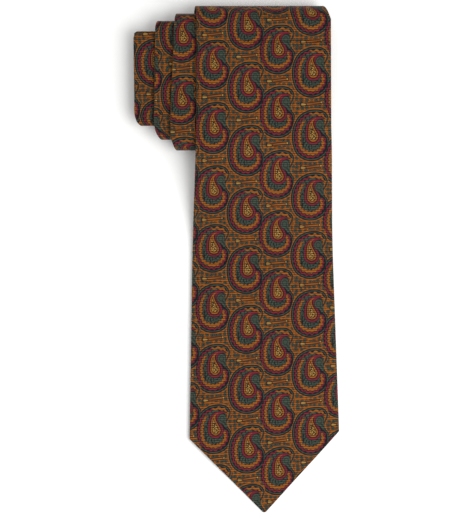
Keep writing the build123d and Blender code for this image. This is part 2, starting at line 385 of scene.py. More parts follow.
@dataclass(frozen=True)
class Net:
    """Adds nodes to one material."""

    tree: bpy.types.NodeTree

    def add(self, kind: str, **settings: object) -> bpy.types.Node:
        """A new node of this kind, with its settings."""
        node = self.tree.nodes.new(kind)
        for name, value in settings.items():
            setattr(node, name, value)
        return node

    def plug(self, socket: bpy.types.NodeSocket, value: Value) -> None:
        """Links a wire to a socket, or sets the socket to a plain value."""
        if isinstance(value, Wire):
            self.tree.links.new(value.socket, socket)
        elif isinstance(value, tuple) and socket.type == "RGBA":
            socket.default_value = (*value, 1.0)
        else:
            socket.default_value = value

    def number(self, operation: str, *values: Value, clamp: bool = False) -> Wire:
        """A Math node."""
        node = self.add("ShaderNodeMath", operation=operation, use_clamp=clamp)
        for socket, value in zip(node.inputs, values):
            self.plug(socket, value)
        return Wire(self, node.outputs[0])

    def reach(self, x: Wire, y: Wire) -> Wire:
        """How far a place is from where x and y are nothing."""
        return self.number("SQRT", x * x + y * y)

    def held(self, value: Wire, high: float) -> Wire:
        """The value, kept from 0 to high."""
        return self.number("MINIMUM", self.number("MAXIMUM", value, 0.0), high)

    def ramp(self, value: Value, soft: float) -> Wire:
        """0 where value is well below nothing, 1 where well above, and soft across zero."""
        return self.number("MULTIPLY_ADD", value, 1 / soft, 0.5, clamp=True)

    def band(self, distance: Wire, half: Value, soft: float = 0.22) -> Wire:
        """1 within half of where distance is nothing."""
        return self.ramp(half - abs(distance), soft)

    def mix(self, first: Value, second: Value, share: Value) -> Wire:
        """One colour laid over another."""
        node = self.add("ShaderNodeMix", data_type="RGBA", clamp_factor=True)
        self.plug(node.inputs[0], share)
        self.plug(node.inputs[6], first)
        self.plug(node.inputs[7], second)
        return Wire(self, node.outputs[2])

    def curve(self, value: Value, points: Table) -> Wire:
        """A smooth curve through points, whose places and values are both from 0 to 1."""
        node = self.add("ShaderNodeFloatCurve")
        line = node.mapping.curves[0]
        line.points[0].location, line.points[1].location = points[0], points[-1]
        for place, height in points[1:-1]:
            line.points.new(place, height)
        node.mapping.update()
        self.plug(node.inputs["Value"], value)
        return Wire(self, node.outputs[0])

    def vector(self, x: Value, y: Value, z: Value = 0.0) -> Wire:
        """A vector of three numbers."""
        node = self.add("ShaderNodeCombineXYZ")
        for socket, value in zip(node.inputs, (x, y, z)):
            self.plug(socket, value)
        return Wire(self, node.outputs[0])

    def split(self, vector: Value) -> tuple[Wire, Wire, Wire]:
        """The three numbers of a vector."""
        node = self.add("ShaderNodeSeparateXYZ")
        self.plug(node.inputs[0], vector)
        return tuple(Wire(self, socket) for socket in node.outputs)

    def cells(self, x: Value, y: Value, size: float, loose: float = 1.0) -> tuple[Wire, Wire]:
        """Spots strewn one to a cell: the distance to the nearest, in cells, and a colour of its own."""
        node = self.add("ShaderNodeTexVoronoi", voronoi_dimensions="2D", feature="F1")
        self.plug(node.inputs["Vector"], self.vector(x, y))
        node.inputs["Scale"].default_value = 1 / size
        node.inputs["Randomness"].default_value = loose
        return Wire(self, node.outputs["Distance"]), Wire(self, node.outputs["Color"])

    def cloudy(self, vector: Value, scale: float, detail: float = 2.0) -> Wire:
        """Soft noise from 0 to 1."""
        node = self.add("ShaderNodeTexNoise")
        self.plug(node.inputs["Vector"], vector)
        node.inputs["Scale"].default_value = scale
        node.inputs["Detail"].default_value = detail
        return Wire(self, node.outputs["Fac"])

    def place(self, kind: str) -> Wire:
        """The piece's own UV, or its Object coordinates."""
        return Wire(self, self.add("ShaderNodeTexCoord").outputs[kind])

    def bump(self, height: Value, depth: float, strength: float) -> Wire:
        """A normal raised by height, in metres of depth."""
        node = self.add("ShaderNodeBump")
        self.plug(node.inputs["Height"], height)
        node.inputs["Distance"].default_value = depth
        node.inputs["Strength"].default_value = strength
        return Wire(self, node.outputs["Normal"])


@dataclass
class Paint:
    """A colour laid on in layers."""

    net: Net
    colour: Value

    def over(self, colour: Value, share: Value) -> None:
        """Lays a share of a colour over what is there."""
        self.colour = self.net.mix(self.colour, colour, share)


@dataclass(frozen=True)
class Finish:
    """What every finish of the tie has: a name, and the shader's own steady values."""

    name: str
    roughness: float = 0.6
    specular: float = 0.3
    sheen: float = 0.0
    sheen_roughness: float = 0.5
    anisotropic: float = 0.0

    def material(self) -> bpy.types.Material:
        """The finish as a new material."""
        made = bpy.data.materials.new(self.name)
        made.use_nodes = True
        net = Net(made.node_tree)
        sockets = net.tree.nodes["Principled BSDF"].inputs
        sockets["Roughness"].default_value = self.roughness
        sockets["Specular IOR Level"].default_value = self.specular
        sockets["Sheen Weight"].default_value = self.sheen
        sockets["Sheen Roughness"].default_value = self.sheen_roughness
        sockets["Anisotropic"].default_value = self.anisotropic
        colour, normal = self.dress(net)
        net.plug(sockets["Base Color"], colour)
        if normal:
            net.plug(sockets["Normal"], normal)
        return made

    def dress(self, net: Net) -> tuple[Wire, Optional[Wire]]:
        """The finish's own colour, and its normal where it has a bump."""
        raise NotImplementedError


@dataclass(frozen=True)
class Arc:
    """A stretch of a paisley's outline, in turns about its middle: where, half how long, and how soft."""

    middle: float
    half: float
    soft: float

    def along(self, net: Net, share: Wire) -> Wire:
        """1 on the stretch and 0 past it."""
        return net.band(share - self.middle, self.half, self.soft)


@dataclass(frozen=True)
class Place:
    """A place on the cloth, in millimetres, and from the seed of the paisley that it belongs to.

    Its depth is measured inwards from the paisley's outer green line, and its share is the part of a turn
    about the paisley's middle.
    """

    u: Wire
    v: Wire
    x: Wire
    y: Wire
    depth: Wire
    share: Wire

    def within(self, middle: Pair, half: Pair) -> tuple[Wire, Wire]:
        """Where it lies from the middle of an oval, in the oval's own half widths."""
        return (self.x - middle[0]) / half[0], (self.y - middle[1]) / half[1]


@dataclass(frozen=True)
class PaisleySilk(Finish):
    """Woven silk with rows of hooked paisleys on a ground of dots, after the piece's UV in millimetres."""

    name: str = "paisley_silk"
    roughness: float = 0.52
    specular: float = 0.10
    sheen: float = 0.02
    column: float = 18.9
    row: float = 35.3
    row_top: float = 21.0
    step: float = -13.3
    odd: Pair = (1.0, 0.5)
    border_x: float = 9.0
    border_bulge: float = 2.6
    middle_x: float = -1.0
    longest: float = 20.0
    edge: Table = (
        (0.000, 8.55), (0.045, 7.35), (0.085, 7.9), (0.100, 9.4), (0.118, 12.0), (0.147, 14.1), (0.178, 14.8),
        (0.240, 14.2), (0.290, 13.5), (0.340, 12.8), (0.415, 11.4), (0.500, 10.8), (0.570, 11.3),
        (0.633, 12.3), (0.697, 12.8), (0.760, 12.9), (0.818, 12.5), (0.883, 11.7), (0.938, 10.3), (1.000, 8.55),
    )
    dot_pitch: float = 2.65
    dot_size: float = 0.325
    dot_eye: float = 0.15
    strand_pitch: float = 1.35
    halo: float = 0.92
    halo_line: float = 1.3
    stem_y: float = 18.4
    stem_half: float = 5.4
    drop: Pair = (-5.8, 17.8)
    drop_size: Pair = (1.4, 0.76)
    bead: Pair = (4.5, 18.9)
    bead_radius: float = 0.5
    speck_pitch: float = 1.15
    scallops: int = 24
    scallop_height: float = 0.36
    rim_depth: float = 2.25
    outer_lace: float = 1.5
    outer_dip: Arc = Arc(0.90, 0.07, 0.12)
    outer_gap: Arc = Arc(0.045, 0.06, 0.02)
    inner_lace: float = 3.55
    inner_wide: Arc = Arc(0.665, 0.34, 0.06)
    inner_widest: Arc = Arc(0.74, 0.07, 0.1)
    inner_gap: Arc = Arc(0.16, 0.145, 0.03)
    hook_start: float = 0.10
    hook_end: float = 0.262
    tear_x: float = -0.2
    tear_foot: float = 4.0
    tear_head: float = 1.3
    tear_height: float = 10.1
    tear_lean: float = 0.26
    tear_curl: float = 0.66
    tear_reach: float = 11.5
    grain_pitch: float = 0.95
    curl_middle: Pair = (3.7, 6.5)
    curl_size: Pair = (2.35, 2.75)
    bridge: Pair = (5.3, 3.9)
    bridge_size: Pair = (1.35, 2.4)
    bridge_lean: Pair = (0.80, 0.60)
    rib_pitch: float = 1.27
    warp_pitch: float = 0.36
    weave_depth: float = 0.00012
    # painted highlight along the rolled edges, partly yarn wear: how strongly it is laid on
    edge_highlight_and_wear_share: float = 0.55
    orange: Colour = srgb(134, 75, 15)
    amber: Colour = srgb(116, 63, 13)
    rust: Colour = srgb(52, 31, 15)
    red: Colour = srgb(104, 24, 37)
    green: Colour = srgb(54, 64, 53)
    moss: Colour = srgb(31, 37, 32)
    dark: Colour = srgb(12, 13, 19)
    gold: Colour = srgb(154, 116, 52)
    # painted highlight along the rolled edges, partly yarn wear: its colour
    edge_highlight_and_wear: Colour = srgb(90, 78, 52)

    def dress(self, net: Net) -> tuple[Wire, Wire]:
        """Draws the pattern, lightens the rolled edges with a painted highlight that is partly yarn wear, then
        lays the ribs of the weave over it.
        """
        u, v, _ = net.split(net.place("UV"))
        x, y = self.nearest(net, u, v)
        at = Place(u, v, x, y, *self.outline(net, x, y))
        paint = Paint(net, self.ground(net, at))
        paint.over(self.motif(net, at), net.ramp(at.depth + self.halo, 0.2))
        # The rolled edges are painted lighter: partly a painted highlight where the rounded edge catches the
        # light, partly worn yarn.
        rolled = Wire(net, net.add("ShaderNodeAttribute", attribute_name="rolled").outputs["Fac"])
        paint.over(self.edge_highlight_and_wear, rolled * self.edge_highlight_and_wear_share)
        colour, height = self.weave(net, at, paint.colour)
        return colour, net.bump(height, self.weave_depth, 0.7)

    def from_seed(self, net: Net, u: Wire, v: Wire, column: Wire, odd: Wire) -> tuple[Wire, Wire]:
        """How far right of and above the seed of its paisley a place in this column is."""
        x = u - column * self.column - odd * self.odd[0]
        y = v - column * self.step - odd * self.odd[1]
        return x, net.number("WRAP", y, self.row_top, self.row_top - self.row)

    def nearest(self, net: Net, u: Wire, v: Wire) -> tuple[Wire, Wire]:
        """How far right of and above its paisley's seed a place is, whichever column it belongs to."""
        column = net.number("FLOOR", u / self.column)
        odd = net.number("PINGPONG", column, 1.0)
        left_x, left_y = self.from_seed(net, u, v, column, odd)
        right_x, right_y = self.from_seed(net, u, v, column + 1.0, 1.0 - odd)
        below = net.held(left_y * -0.31 - 0.93, self.border_bulge)
        above = net.held((left_y - 13.0) * 0.5, self.border_bulge)
        past = net.number("GREATER_THAN", left_x, self.border_x - below - above)
        return left_x + past * (right_x - left_x), left_y + past * (right_y - left_y)

    def outline(self, net: Net, x: Wire, y: Wire) -> tuple[Wire, Wire]:
        """Depth inside the paisley's outer green line, and the share of a turn about its middle."""
        from_middle = x - self.middle_x
        share = net.number("FRACT", net.number("ARCTAN2", y, from_middle) / (2 * pi) + 1.0)
        line = net.curve(share, tuple((turn, reach / self.longest) for turn, reach in self.edge)) * self.longest
        return line - net.reach(from_middle, y), share

    def ground(self, net: Net, at: Place) -> Wire:
        """Dark-eyed green dots in an orange net, with a gold drop on a fine stem between paisleys."""
        dots, tint = net.cells(at.u, at.v * 1.04, self.dot_pitch, 0.4)
        jitter, _, _ = net.split(tint)
        strands, _ = net.cells(at.u * 0.9 + at.v * 0.25, at.v, self.strand_pitch)
        size = self.dot_size + jitter * 0.05
        paint = Paint(net, self.amber)
        paint.over(self.orange, net.ramp(jitter - 0.35, 0.5))
        paint.over(self.rust, net.ramp(strands - 0.68, 0.16) * 0.5)
        paint.over(self.dark, net.ramp(size + 0.085 - dots, 0.06) * 0.9)
        paint.over(self.green, net.ramp(size - 0.01 - dots, 0.07))
        paint.over(self.dark, net.ramp(self.dot_eye - dots, 0.07) * 0.9)
        paint.over(self.orange, net.band(at.depth + self.halo_line, 0.30))
        self.stem(net, at, paint)
        return paint.colour

    def stem(self, net: Net, at: Place, paint: Paint) -> None:
        """The stem between paisleys, with the gold drop and bead at its ends."""
        shown = net.ramp(self.stem_half - abs(at.x + 0.8), 0.8)
        across = at.y - self.stem_y - at.x * 0.1
        paint.over(self.orange, net.band(across, 1.0, 0.4) * shown)
        paint.over(self.dark, net.band(abs(across) - 0.66, 0.24) * shown)
        x, y = at.within(self.drop, self.drop_size)
        drop = 1.0 - net.reach(x, y * (1.15 + x * 0.6))
        paint.over(self.dark, net.ramp(drop + 0.45, 0.15) * 0.9)
        paint.over(self.gold, net.ramp(drop, 0.3) * 0.85)
        bead = self.bead_radius - net.reach(at.x - self.bead[0], at.y - self.bead[1])
        paint.over(self.dark, net.ramp(bead + 0.32, 0.15))
        paint.over(self.gold, net.ramp(bead, 0.2))

    def motif(self, net: Net, at: Place) -> Wire:
        """The paisley itself, band by band from its outline inwards."""
        specks, tint = net.cells(at.x, at.y, self.speck_pitch, 0.8)
        shade, _, _ = net.split(tint)
        paint = Paint(net, self.moss)
        paint.over(self.green, net.ramp(0.36 + shade * 0.2 - specks, 0.2))
        paint.over(self.dark, net.ramp(specks - 0.53, 0.16) * 0.9)
        uneven = net.cloudy(net.vector(at.x, at.y), 0.42, 1.0) - 0.5
        waves = net.number("SINE", at.share * (2 * pi * self.scallops))
        waves = waves * (self.scallop_height + 0.9 * abs(uneven)) + uneven * 1.3
        inner = at.depth - self.inner_lace + waves
        half = self.inner_wide.along(net, at.share) * 0.74 - 0.02 + self.inner_widest.along(net, at.share) * 0.25
        seen = 1.0 - self.inner_gap.along(net, at.share)
        paint.over(self.dark, net.band(inner, half + 0.3) * seen)
        paint.over(self.orange, net.band(inner, half) * seen)
        paint.over(self.dark, net.ramp(self.rim_depth - at.depth, 0.2))
        hook = net.ramp(self.hook_end - at.share, 0.012) * net.ramp(at.share - self.hook_start, 0.01)
        outer = at.depth - self.outer_lace + waves * 0.8 - self.outer_dip.along(net, at.share) * 0.75 - hook * 0.12
        seen = 1.0 - self.outer_gap.along(net, at.share)
        paint.over(net.mix(self.red, self.orange, hook), net.band(outer, 0.50 + hook * 0.12) * seen)
        paint.over(self.green, net.band(at.depth, 0.27))
        self.teardrop(net, at, paint)
        self.curl(net, at, paint)
        return paint.colour

    def teardrop(self, net: Net, at: Place, paint: Paint) -> None:
        """The hooked red drop inside, its orange lining and the gold at its head."""
        x, y = at.x - self.tear_x, at.y
        reach = net.reach(x, y) / self.tear_reach
        square = reach * reach
        swing = self.tear_lean - square * square * self.tear_curl
        turned_cos, turned_sin = net.number("COSINE", swing), net.number("SINE", swing)
        side = abs(x * turned_cos + y * turned_sin)
        along = y * turned_cos - x * turned_sin
        slant = (self.tear_foot - self.tear_head) / self.tear_height
        lean = sqrt(1 - slant * slant)
        turn = along * lean - side * slant
        foot = net.reach(side, along) - self.tear_foot
        body = side * lean + along * slant - self.tear_foot
        head = net.reach(side, along - self.tear_height) - self.tear_head
        edge = foot + net.number("GREATER_THAN", turn, 0.0) * (body - foot)
        edge = edge + net.number("GREATER_THAN", turn, lean * self.tear_height) * (head - edge)
        paint.over(self.dark, net.ramp(0.85 - edge, 0.2))
        paint.over(self.red, net.band(edge, 0.52))
        paint.over(self.red, net.ramp(0.3 - edge, 0.2) * net.ramp(along - 8.7, 0.8))
        paint.over(self.orange, net.band(edge + 1.55, 0.42))
        grains, _ = net.cells(at.x, at.y, self.grain_pitch, 0.9)
        paint.over(self.dark, net.ramp(-1.95 - edge, 0.2))
        paint.over(net.mix(self.gold, self.dark, net.ramp(grains - 0.44, 0.16)), net.ramp(-2.25 - edge, 0.25))

    def curl(self, net: Net, at: Place, paint: Paint) -> None:
        """The green curl that fills the hook, and its bridge to the outline."""
        x, y = at.within(self.curl_middle, self.curl_size)
        x_in, y_in = at.x - self.bridge[0], at.y - self.bridge[1]
        lean_cos, lean_sin = self.bridge_lean
        across = self.bridge_size[0] - abs(x_in * lean_cos + y_in * lean_sin)
        along = self.bridge_size[1] - abs(x_in * lean_sin - y_in * lean_cos)
        curl = (1.0 - net.reach(x, y)) * 2.5
        curl = net.number("MAXIMUM", curl, net.number("MINIMUM", across, along))
        paint.over(self.dark, net.ramp(curl + 0.35, 0.2))
        paint.over(self.green, net.ramp(curl, 0.25))
        paint.over(self.dark, net.band(curl - 1.15, 0.2) * 0.7)

    def weave(self, net: Net, at: Place, colour: Wire) -> tuple[Wire, Wire]:
        """Crosswise ribs with fine warp threads over them, and slow changes of tone.

        Returns:
            The colour, and the height for the bump.
        """
        ribs = net.number("SINE", at.v * (2 * pi / self.rib_pitch))
        warp = net.number("SINE", at.u * (2 * pi / self.warp_pitch) + ribs * 0.8)
        slow = net.cloudy(net.vector(at.u, at.v), 0.045)
        slub = net.cloudy(net.vector(at.u * 0.12, at.v * 2.2), 0.5)
        tone = 0.84 + ribs * 0.38 + warp * 0.06 + (slow - 0.5) * 0.2 + (slub - 0.5) * 0.3
        shaded = net.add("ShaderNodeVectorMath", operation="SCALE")
        net.plug(shaded.inputs[0], colour)
        net.plug(shaded.inputs["Scale"], tone)
        return Wire(net, shaded.outputs[0]), ribs * 0.8 + warp * 0.25


@dataclass(frozen=True)
class PlainWeave(Finish):
    """A plain cloth in two tones of one yarn, sometimes with a line down each side."""

    name: str = "plain_weave"
    light: Colour = (0.5, 0.5, 0.5)
    shade: Colour = (0.3, 0.3, 0.3)
    pitch: float = 0.6
    hairy: float = 0.5
    border: Optional[Colour] = None
    border_at: float = 0.0
    weave_depth: float = 0.0002

    def dress(self, net: Net) -> tuple[Wire, Wire]:
        """Crossing yarns after the piece's UV in millimetres, with loose fibres over them."""
        u, v, _ = net.split(net.place("UV"))
        across, along = (net.number("SINE", place * (2 * pi / self.pitch)) for place in (u, v))
        fibre = net.cloudy(net.vector(u, v), 1.7, 6.0)
        patch = net.cloudy(net.vector(u, v), 0.08)
        weave = across * along * 0.25 + 0.5
        share = weave * (1 - self.hairy) + fibre * self.hairy + (patch - 0.5) * 0.3
        paint = Paint(net, self.shade)
        paint.over(self.light, share)
        if self.border:
            paint.over(self.border, net.band(abs(u) - self.border_at, 0.35, 0.1))
        return paint.colour, net.bump(weave + fibre * self.hairy, self.weave_depth, 0.6)


@dataclass(frozen=True)
class TwistedThread(Finish):
    """Sewing thread, in two plies."""

    name: str = "sewing_thread"
    light: Colour = srgb(104, 76, 48)
    shade: Colour = srgb(58, 42, 30)
    twist_pitch: float = 0.00028
    ply_depth: float = 0.00004

    def dress(self, net: Net) -> tuple[Wire, Wire]:
        """Slanted plies in object coordinates."""
        x, y, z = net.split(net.place("Object"))
        twist = net.number("SINE", (x + y * 0.8 + z) * (2 * pi / self.twist_pitch)) * 0.5 + 0.5
        fibre = net.cloudy(net.vector(x, y, z), 2600, 3.0)
        return net.mix(self.shade, self.light, twist * 0.7 + fibre * 0.3), net.bump(twist, self.ply_depth, 0.8)


@dataclass(frozen=True)
class StudioFloor(Finish):
    """A pale, matt sweep."""

    name: str = "studio_floor"
    roughness: float = 0.9
    specular: float = 0.1

    def dress(self, net: Net) -> tuple[Wire, None]:
        """An almost even white."""
        mottle = net.cloudy(net.place("Object"), 3.0)
        return net.mix((0.90, 0.90, 0.89), (0.93, 0.93, 0.93), mottle), None


class Slot(Enum):
    """The record's material slots."""

    SILK = "shell_silk"
    WOOL = "interlining_wool"
    SATIN = "tipping_satin"
    RIBBON = "label_ribbon"
    THREAD = "sewing_thread"


def slot_materials() -> dict[Slot, bpy.types.Material]:
    """The material of every slot, each made once."""
    finishes = {
        Slot.SILK: PaisleySilk(),
        Slot.WOOL: PlainWeave(
            name="brushed_wool", roughness=0.95, specular=0.1, sheen=0.3, pitch=0.9, hairy=0.75,
            light=srgb(214, 204, 184), shade=srgb(160, 148, 128),
        ),
        Slot.SATIN: PlainWeave(
            name="tipping_satin", roughness=0.34, specular=0.4, sheen=0.1, anisotropic=0.5, pitch=0.22,
            hairy=0.25, light=srgb(92, 62, 46), shade=srgb(62, 40, 32),
        ),
        Slot.RIBBON: PlainWeave(
            name="label_ribbon", roughness=0.5, pitch=0.34, hairy=0.2, light=srgb(70, 62, 52),
            shade=srgb(42, 38, 34), border=srgb(176, 138, 78), border_at=20.6,
        ),
        Slot.THREAD: TwistedThread(roughness=0.6, sheen=0.2),
    }
    return {slot: finish.material() for slot, finish in finishes.items()}


# --- Mesh work ---


class Body(Enum):
    """What a piece moves with."""

    ROLL = "roll"
    BLADE = "blade"
    TIP = "blade_tip"


class Crossing(Enum):
    """A joint that a piece crosses: the body before it, the body after it, and the joint."""

    BLADE_LIFT = ("roll", "blade", "blade_lift")
    TIP_LIFT = ("blade", "blade_tip", "tip_lift")


Follows = Union[Body, Crossing]


def grid_sheet(
    rows: Sequence[Sequence[Vector]], cloth: Sequence[Sequence[Pair]], rolled: Sequence[Sequence[float]]
) -> bmesh.types.BMesh:
    """A flat grid moved into place row by row, so that it faces the side from which columns run leftwards.

    Args:
        rows: the place of each grid point, in metres, one row to a station.
        cloth: the same points on the flat cloth, in millimetres.
        rolled: for each point, 1 on a rolled edge and 0 well away from one.

    Returns:
        The mesh, with the cloth's millimetres as its UV map.
    """
    bm = bmesh.new()
    across, along = len(rows[0]) - 1, len(rows) - 1
    uv, edge = bm.loops.layers.uv.new("cloth"), bm.verts.layers.float.new("rolled")
    bmesh.ops.create_grid(bm, x_segments=across, y_segments=along, size=0.5)
    where: dict[bmesh.types.BMVert, tuple[int, int]] = {}
    for vert in bm.verts:
        column = across - round((vert.co.x + 0.5) * across)
        where[vert] = (round((vert.co.y + 0.5) * along), column)
    for vert, (row, column) in where.items():
        vert.co = rows[row][column]
        vert[edge] = rolled[row][column]
    for face in bm.faces:
        for loop in face.loops:
            row, column = where[loop.vert]
            loop[uv].uv = cloth[row][column]
    return bm


def thicken(piece: bpy.types.Object, thickness: float) -> None:
    """Gives a sheet its thickness, half to each side, in millimetres."""
    solid = piece.modifiers.new("thickness", "SOLIDIFY")
    solid.thickness = thickness * MM
    solid.offset = 0.0
    solid.use_rim = True


def soften(piece: bpy.types.Object, width: float) -> None:
    """Rounds the cut edges of a thick strip, in millimetres."""
    bevel = piece.modifiers.new("edges", "BEVEL")
    bevel.width = width * MM
    bevel.segments = 2
    bevel.limit_method = "ANGLE"
    bevel.angle_limit = radians(50)


@dataclass
class Maker:
    """Turns meshes into pieces and joins them to the bodies."""

    frame: dict
    materials: dict[Slot, bpy.types.Material]
    bend_length: float = 25.0

    def hinge(self, name: str) -> Vector:
        """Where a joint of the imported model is, in metres."""
        joints = self.frame["record"]["behaviour"]["joints"]
        return Vector(next(joint["pos_m"] for joint in joints if joint["name"] == name))

    def piece(self, name: str, bm: bmesh.types.BMesh, slot: Slot) -> bpy.types.Object:
        """Turns a mesh in metres into a piece with smooth faces and its slot's finish, and frees the mesh."""
        for face in bm.faces:
            face.smooth = True
        mesh = bpy.data.meshes.new(name)
        bm.to_mesh(mesh)
        bm.free()
        mesh.materials.append(self.materials[slot])
        piece = bpy.data.objects.new(name, mesh)
        bpy.context.scene.collection.objects.link(piece)
        return piece

    def join(self, piece: bpy.types.Object, to: Follows, node: str) -> None:
        """Makes a finished piece follow a body, or, where it crosses a joint, only bakes its place, and hides the
        CAD node that it stands for.
        """
        if isinstance(to, Crossing):
            before, after, joint = to.value
            start = self.hinge(joint)
            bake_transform(piece)
        else:
            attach(piece, to.value)
        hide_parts(node)
        LOG.info("%s: %d vertices, %s", piece.name, len(piece.data.vertices), to.name)


# --- The tie's own parts ---


@dataclass
class Sheets:
    """Cloth that follows the tie's centre line, one length to a piece."""

    lay: Lay
    maker: Maker
    slot: Slot = Slot.SILK
    thickness: float = Lay.cloth
    narrowest: float = 0.02
    extra: Sequence[float] = ()

    def section(self, station: Station) -> list[Triple]:
        """One cross-section, from the right.

        Returns:
            For each point its place across the ply, its depth to the back, and its place across the flat cloth.
        """
        raise NotImplementedError

    def pattern(self, station: Station, flat: float) -> Pair:
        """Where the finish is read for a point of the cloth."""
        return flat, station.s

    def rolled(self, station: Station, u: float) -> float:
        """1 on a rolled edge and 0 well away from one."""
        return 0.0

    def sheet(self, name: str, span: Pair, to: Follows, under: str) -> None:
        """Makes one length of the cloth and joins it.

        Args:
            name: the piece's name, which is its CAD node's.
            span: lengths from the wide tip where it starts and ends.
            to: the body it moves with, or the joint it crosses.
            under: the piece that it rests on; not used.
        """
        stations = self.lay.part(*span, self.extra)
        sections = [(station, self.section(station)) for station in stations]
        rows = [[self.lay.placed(station, u, v) for u, v, _ in points] for station, points in sections]
        cloth = [[self.pattern(station, flat) for _, _, flat in points] for station, points in sections]
        rolled = [[self.rolled(station, u) for u, _, _ in points] for station, points in sections]
        widths = [points[0][2] - points[-1][2] for _, points in sections]
        steps = zip(widths, widths[1:], stations, stations[1:])
        area = sum((first + second) / 2 * (after.s - before.s) for first, second, before, after in steps)
        piece = self.maker.piece(name, grid_sheet(rows, cloth, rolled), self.slot)
        thicken(piece, self.thickness)
        self.maker.join(piece, to, name)
        flat_size = (max(widths) * MM, (span[1] - span[0]) * MM)
        area * MM * MM

    def run(self, cuts: Sequence[float], lengths: Sequence[tuple[str, Follows, str]]) -> None:
        """Sheets that meet end to end at the cuts: the name of each, what it moves with and rests on."""
        for (name, to, under), span in zip(lengths, zip(cuts, cuts[1:])):
            self.sheet(name, span, to, under)


@dataclass
class Shell(Sheets):
    """The patterned cloth, folded round the interlining and open along the middle of the back."""

    front_columns: int = 26
    edge_columns: int = 7
    back_columns: int = 8
    evenness: float = 0.6
    closing_length: float = 0.9
    least_closing: float = 0.0004
    flap_reach: float = 0.98
    end_places: tuple[float, ...] = (0.12, 0.3, 0.55, 0.9, 1.6)
    rolled_width: float = 0.7
    pattern_left: float = -28.6
    pattern_start: float = 120.7
    stretch: Table = (
        (150, 0.0), (195, -0.5), (222, 0.9), (240, 1.7), (262, 3.0), (292, 3.0), (408, -9.8), (430, -9.3),
        (466, -7.7), (475, -7.6), (565, -11.1), (631, -11.1), (700, -7.6),
    )
    sideways: Table = ((475, 0.0), (560, -5.6), (635, -5.6), (700, 0.0))

    def __post_init__(self) -> None:
        """Sets close stations near both ends, and one at each pair of shoulders."""
        lay = self.lay
        far_ends = (lay.length - gap for gap in self.end_places)
        self.extra = (*self.end_places, *far_ends, lay.shoulder_length, lay.narrow_shoulder)

    def section(self, station: Station) -> list[Triple]:
        """One cross-section, from the right flap of the back round the front to the left flap."""
        lay = self.lay
        edge, seam = looked_up(lay.widths, station.s) / 2, looked_up(lay.openings, station.s) / 2
        from_end = min(station.s, lay.length - station.s)
        closing = sqrt(max(1 - (1 - min(from_end / self.closing_length, 1.0)) ** 2, self.least_closing))
        bend = (lay.thickness - lay.cloth) / 2 * closing
        inner = max(edge - lay.cloth / 2 - bend, self.narrowest)
        seam = min(seam, inner * self.flap_reach)
        flap: list[Triple] = []
        for i in range(self.back_columns):
            u = between(seam, inner, i / self.back_columns)
            flap.append((u, bend, inner + bend * pi + inner - u))
        for i in range(self.edge_columns + 1):
            angle = pi * (0.5 - i / self.edge_columns)
            flap.append((inner + bend * cos(angle), bend * sin(angle), inner + bend * (angle + pi / 2)))
        front = []
        for i in range(1, self.front_columns):
            share = 1 - 2 * i / self.front_columns
            u = between(inner * sin(pi / 2 * share), inner * share, self.evenness)
            front.append((u, -bend, u))
        return flap + front + [(-u, v, -flat) for u, v, flat in reversed(flap)]

    def pattern(self, station: Station, flat: float) -> Pair:
        """Where the pattern is read for a point of the cloth."""
        along = station.s - looked_up(self.stretch, station.s) - self.pattern_start
        return flat - self.pattern_left - looked_up(self.sideways, station.s), along

    def rolled(self, station: Station, u: float) -> float:
        """1 on a rolled edge and 0 well away from one."""
        half = looked_up(self.lay.widths, station.s) / 2
        return eased(1 - (half - abs(u)) / self.rolled_width)

    def build(self) -> None:
        """All six lengths, which meet at the hinges and at the panel seams."""
        lay = self.lay
        self.run(
            (0, lay.tip_hinge, lay.blade_hinge, lay.neck_seam, lay.narrow_seam, lay.narrow_hinge, lay.length),
            (
                ("wide_shell_tip", Crossing.TIP_LIFT, "wide_interlining_tip"),
                ("wide_shell_mid", Crossing.BLADE_LIFT, "wide_interlining_mid"),
                ("wide_shell_roll", Body.ROLL, "wide_interlining_roll"),
                ("neck_shell", Body.ROLL, "narrow_interlining_roll"),
                ("narrow_shell_roll", Body.ROLL, "narrow_interlining_roll"),
                ("narrow_shell_tail", Crossing.BLADE_LIFT, "narrow_interlining_tail"),
            ),
        )


@dataclass
class Strips(Sheets):
    """Flat strips at one depth behind the middle of a ply."""

    depth: float = 0.0
    columns: int = 12

    def half(self, s: float) -> float:
        """Half the strip's width at a length."""
        raise NotImplementedError

    def section(self, station: Station) -> list[Triple]:
        """Level points from the right edge to the left."""
        half = max(self.half(station.s), self.narrowest)
        places = (half * (1 - 2 * i / self.columns) for i in range(self.columns + 1))
        return [(u, self.depth, u) for u in places]


@dataclass
class Interlining(Strips):
    """Brushed wool inside the whole tie, in two pieces, split where it crosses the hinges."""

    slot: Slot = Slot.WOOL
    thickness: float = 0.50
    inset: float = 3.0
    joint: float = 655.0
    margin: float = 0.65

    def half(self, s: float) -> float:
        """Half the interlining's width at a length."""
        return looked_up(self.lay.widths, s) / 2 - self.margin

    def build(self) -> None:
        """The five lengths."""
        lay = self.lay
        self.run(
            (self.inset, lay.tip_hinge, lay.blade_hinge, self.joint, lay.narrow_hinge, lay.length - self.inset),
            (
                ("wide_interlining_tip", Crossing.TIP_LIFT, "wide_shell_tip"),
                ("wide_interlining_mid", Crossing.BLADE_LIFT, "wide_shell_mid"),
                ("wide_interlining_roll", Body.ROLL, "wide_shell_roll"),
                ("narrow_interlining_roll", Body.ROLL, "neck_shell"),
                ("narrow_interlining_tail", Crossing.BLADE_LIFT, "narrow_shell_tail"),
            ),
        )


